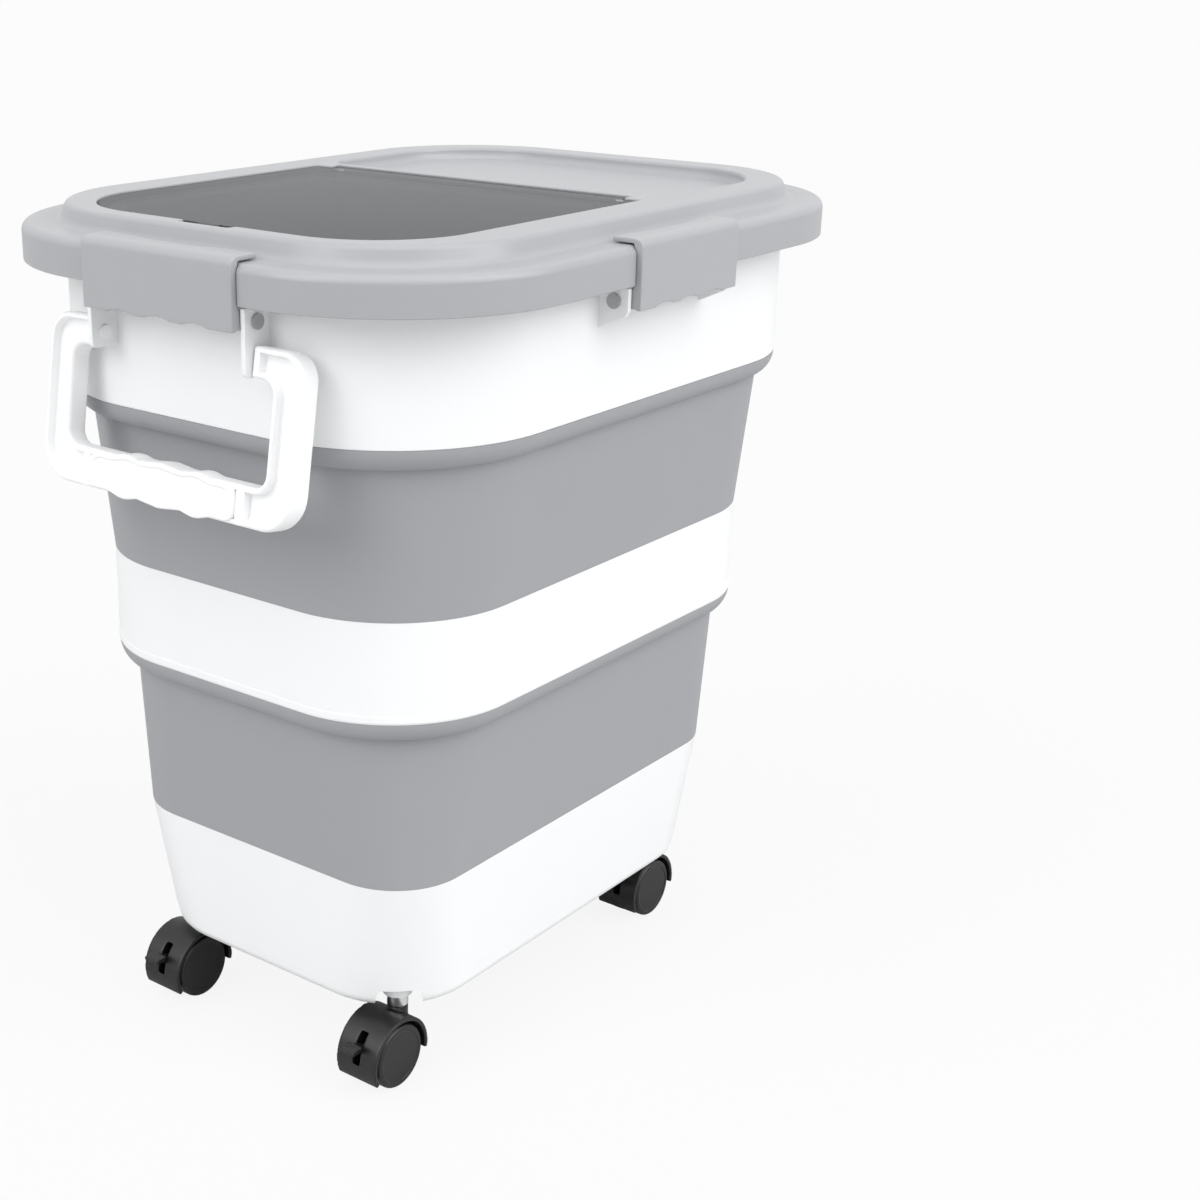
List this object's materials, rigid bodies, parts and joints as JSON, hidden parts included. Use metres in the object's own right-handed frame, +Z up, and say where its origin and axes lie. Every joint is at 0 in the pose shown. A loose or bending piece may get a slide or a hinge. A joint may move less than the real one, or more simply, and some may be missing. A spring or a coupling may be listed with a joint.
{
  "type": "collapsible food bin with flip lid",
  "caption": "Tall collapsible bin of rigid rings joined by soft bands, with a latched lid, a clear flip door, bail handles and braked swivel casters.",
  "frame": {"origin": "on the floor under the middle of the bin, where the wheels stand", "axes": "+Z up; X along the bin's long side, with the door's finger slot and one handle towards -X and the tray towards +X; +Y to the left when looking towards +X"},
  "size_m": [0.4768, 0.359, 0.5055],
  "materials": {
    "tub": "satin white moulding",
    "band": "soft matt grey band",
    "lid": "fine satin grey moulding",
    "latch": "satin grey moulding",
    "door": "clear smoky panel",
    "seal": "soft seal",
    "handle": "satin white moulding",
    "caster": "black nylon",
    "wheel": "black nylon wheel",
    "steel": "bright plated steel"
  },
  "bodies": {
    "base": {"base_tub": "tub", "lower_bellows": "band", "caster_stem_fr": "steel", "caster_stem_fl": "steel", "caster_stem_br": "steel", "caster_stem_bl": "steel"},
    "middle": {"mid_ring": "tub", "upper_bellows": "band"},
    "rim": {"upper_ring": "tub", "lid_frame": "lid", "lid_seal": "seal", "door_seal": "seal", "door_hinge_pins": "steel", "latch_pin_front": "lid", "latch_pin_back": "lid", "latch_pin_right": "lid", "latch_pin_left": "lid"},
    "door": {"flip_door": "door", "door_catch": "door"},
    "latch_front": {"latch_front": "latch"},
    "latch_back": {"latch_back": "latch"},
    "latch_right": {"latch_right": "latch"},
    "latch_left": {"latch_left": "latch"},
    "handle_front": {"handle_frame_front": "handle", "handle_grip_front": "handle", "handle_pins_front": "handle"},
    "handle_back": {"handle_frame_back": "handle", "handle_grip_back": "handle", "handle_pins_back": "handle"},
    "caster_fr": {"caster_body_fr": "caster", "caster_axle_fr": "steel"},
    "wheel_fr_right": {"wheel_fr_right": "wheel"},
    "wheel_fr_left": {"wheel_fr_left": "wheel"},
    "brake_fr": {"brake_lever_fr": "caster"},
    "caster_fl": {"caster_body_fl": "caster", "caster_axle_fl": "steel"},
    "wheel_fl_right": {"wheel_fl_right": "wheel"},
    "wheel_fl_left": {"wheel_fl_left": "wheel"},
    "brake_fl": {"brake_lever_fl": "caster"},
    "caster_br": {"caster_body_br": "caster", "caster_axle_br": "steel"},
    "wheel_br_right": {"wheel_br_right": "wheel"},
    "wheel_br_left": {"wheel_br_left": "wheel"},
    "brake_br": {"brake_lever_br": "caster"},
    "caster_bl": {"caster_body_bl": "caster", "caster_axle_bl": "steel"},
    "wheel_bl_right": {"wheel_bl_right": "wheel"},
    "wheel_bl_left": {"wheel_bl_left": "wheel"},
    "brake_bl": {"brake_lever_bl": "caster"}
  },
  "joints": [
    {"name": "lower_collapse", "type": "slide", "parent": "base", "child": "middle", "axis": [0, 0, -1], "range_m": [0, 0.1937], "deforming": ["lower_bellows"]},
    {"name": "upper_collapse", "type": "slide", "parent": "middle", "child": "rim", "axis": [0, 0, -1], "range_m": [0, 0.146], "deforming": ["upper_bellows"]},
    {"name": "door_hinge", "type": "hinge", "parent": "rim", "child": "door", "pos_m": [0.034, 0, 0.5024], "axis": [0, 1, 0], "range_deg": [0, 110]},
    {"name": "latch_front_hinge", "type": "hinge", "parent": "rim", "child": "latch_front", "pos_m": [-0.219, 0, 0.4653], "axis": [0, -1, 0], "range_deg": [0, 100]},
    {"name": "latch_back_hinge", "type": "hinge", "parent": "rim", "child": "latch_back", "pos_m": [0.219, 0, 0.4653], "axis": [0, 1, 0], "range_deg": [0, 100]},
    {"name": "latch_right_hinge", "type": "hinge", "parent": "rim", "child": "latch_right", "pos_m": [0, -0.165, 0.4653], "axis": [1, 0, 0], "range_deg": [0, 100]},
    {"name": "latch_left_hinge", "type": "hinge", "parent": "rim", "child": "latch_left", "pos_m": [0, 0.165, 0.4653], "axis": [-1, 0, 0], "range_deg": [0, 100]},
    {"name": "handle_front_hinge", "type": "hinge", "parent": "rim", "child": "handle_front", "pos_m": [-0.219, 0, 0.4448], "axis": [0, 1, 0], "range_deg": [0, 121]},
    {"name": "handle_back_hinge", "type": "hinge", "parent": "rim", "child": "handle_back", "pos_m": [0.219, 0, 0.4448], "axis": [0, -1, 0], "range_deg": [0, 121]},
    {"name": "swivel_fr", "type": "hinge", "parent": "base", "child": "caster_fr", "pos_m": [-0.137, -0.082, 0.045], "axis": [0, 0, 1], "continuous": true},
    {"name": "wheel_fr_right_spin", "type": "hinge", "parent": "caster_fr", "child": "wheel_fr_right", "pos_m": [-0.151, -0.082, 0.02], "axis": [0, 1, 0], "continuous": true},
    {"name": "wheel_fr_left_spin", "type": "hinge", "parent": "caster_fr", "child": "wheel_fr_left", "pos_m": [-0.151, -0.082, 0.02], "axis": [0, 1, 0], "continuous": true},
    {"name": "brake_fr_press", "type": "hinge", "parent": "caster_fr", "child": "brake_fr", "pos_m": [-0.16179, -0.082, 0.02526], "axis": [0, -1, 0], "range_deg": [0, 18]},
    {"name": "swivel_fl", "type": "hinge", "parent": "base", "child": "caster_fl", "pos_m": [-0.137, 0.082, 0.045], "axis": [0, 0, 1], "continuous": true},
    {"name": "wheel_fl_right_spin", "type": "hinge", "parent": "caster_fl", "child": "wheel_fl_right", "pos_m": [-0.151, 0.082, 0.02], "axis": [0, 1, 0], "continuous": true},
    {"name": "wheel_fl_left_spin", "type": "hinge", "parent": "caster_fl", "child": "wheel_fl_left", "pos_m": [-0.151, 0.082, 0.02], "axis": [0, 1, 0], "continuous": true},
    {"name": "brake_fl_press", "type": "hinge", "parent": "caster_fl", "child": "brake_fl", "pos_m": [-0.16179, 0.082, 0.02526], "axis": [0, -1, 0], "range_deg": [0, 18]},
    {"name": "swivel_br", "type": "hinge", "parent": "base", "child": "caster_br", "pos_m": [0.137, -0.082, 0.045], "axis": [0, 0, 1], "continuous": true},
    {"name": "wheel_br_right_spin", "type": "hinge", "parent": "caster_br", "child": "wheel_br_right", "pos_m": [0.123, -0.082, 0.02], "axis": [0, 1, 0], "continuous": true},
    {"name": "wheel_br_left_spin", "type": "hinge", "parent": "caster_br", "child": "wheel_br_left", "pos_m": [0.123, -0.082, 0.02], "axis": [0, 1, 0], "continuous": true},
    {"name": "brake_br_press", "type": "hinge", "parent": "caster_br", "child": "brake_br", "pos_m": [0.11221, -0.082, 0.02526], "axis": [0, -1, 0], "range_deg": [0, 18]},
    {"name": "swivel_bl", "type": "hinge", "parent": "base", "child": "caster_bl", "pos_m": [0.137, 0.082, 0.045], "axis": [0, 0, 1], "continuous": true},
    {"name": "wheel_bl_right_spin", "type": "hinge", "parent": "caster_bl", "child": "wheel_bl_right", "pos_m": [0.123, 0.082, 0.02], "axis": [0, 1, 0], "continuous": true},
    {"name": "wheel_bl_left_spin", "type": "hinge", "parent": "caster_bl", "child": "wheel_bl_left", "pos_m": [0.123, 0.082, 0.02], "axis": [0, 1, 0], "continuous": true},
    {"name": "brake_bl_press", "type": "hinge", "parent": "caster_bl", "child": "brake_bl", "pos_m": [0.11221, 0.082, 0.02526], "axis": [0, -1, 0], "range_deg": [0, 18]}
  ]
}
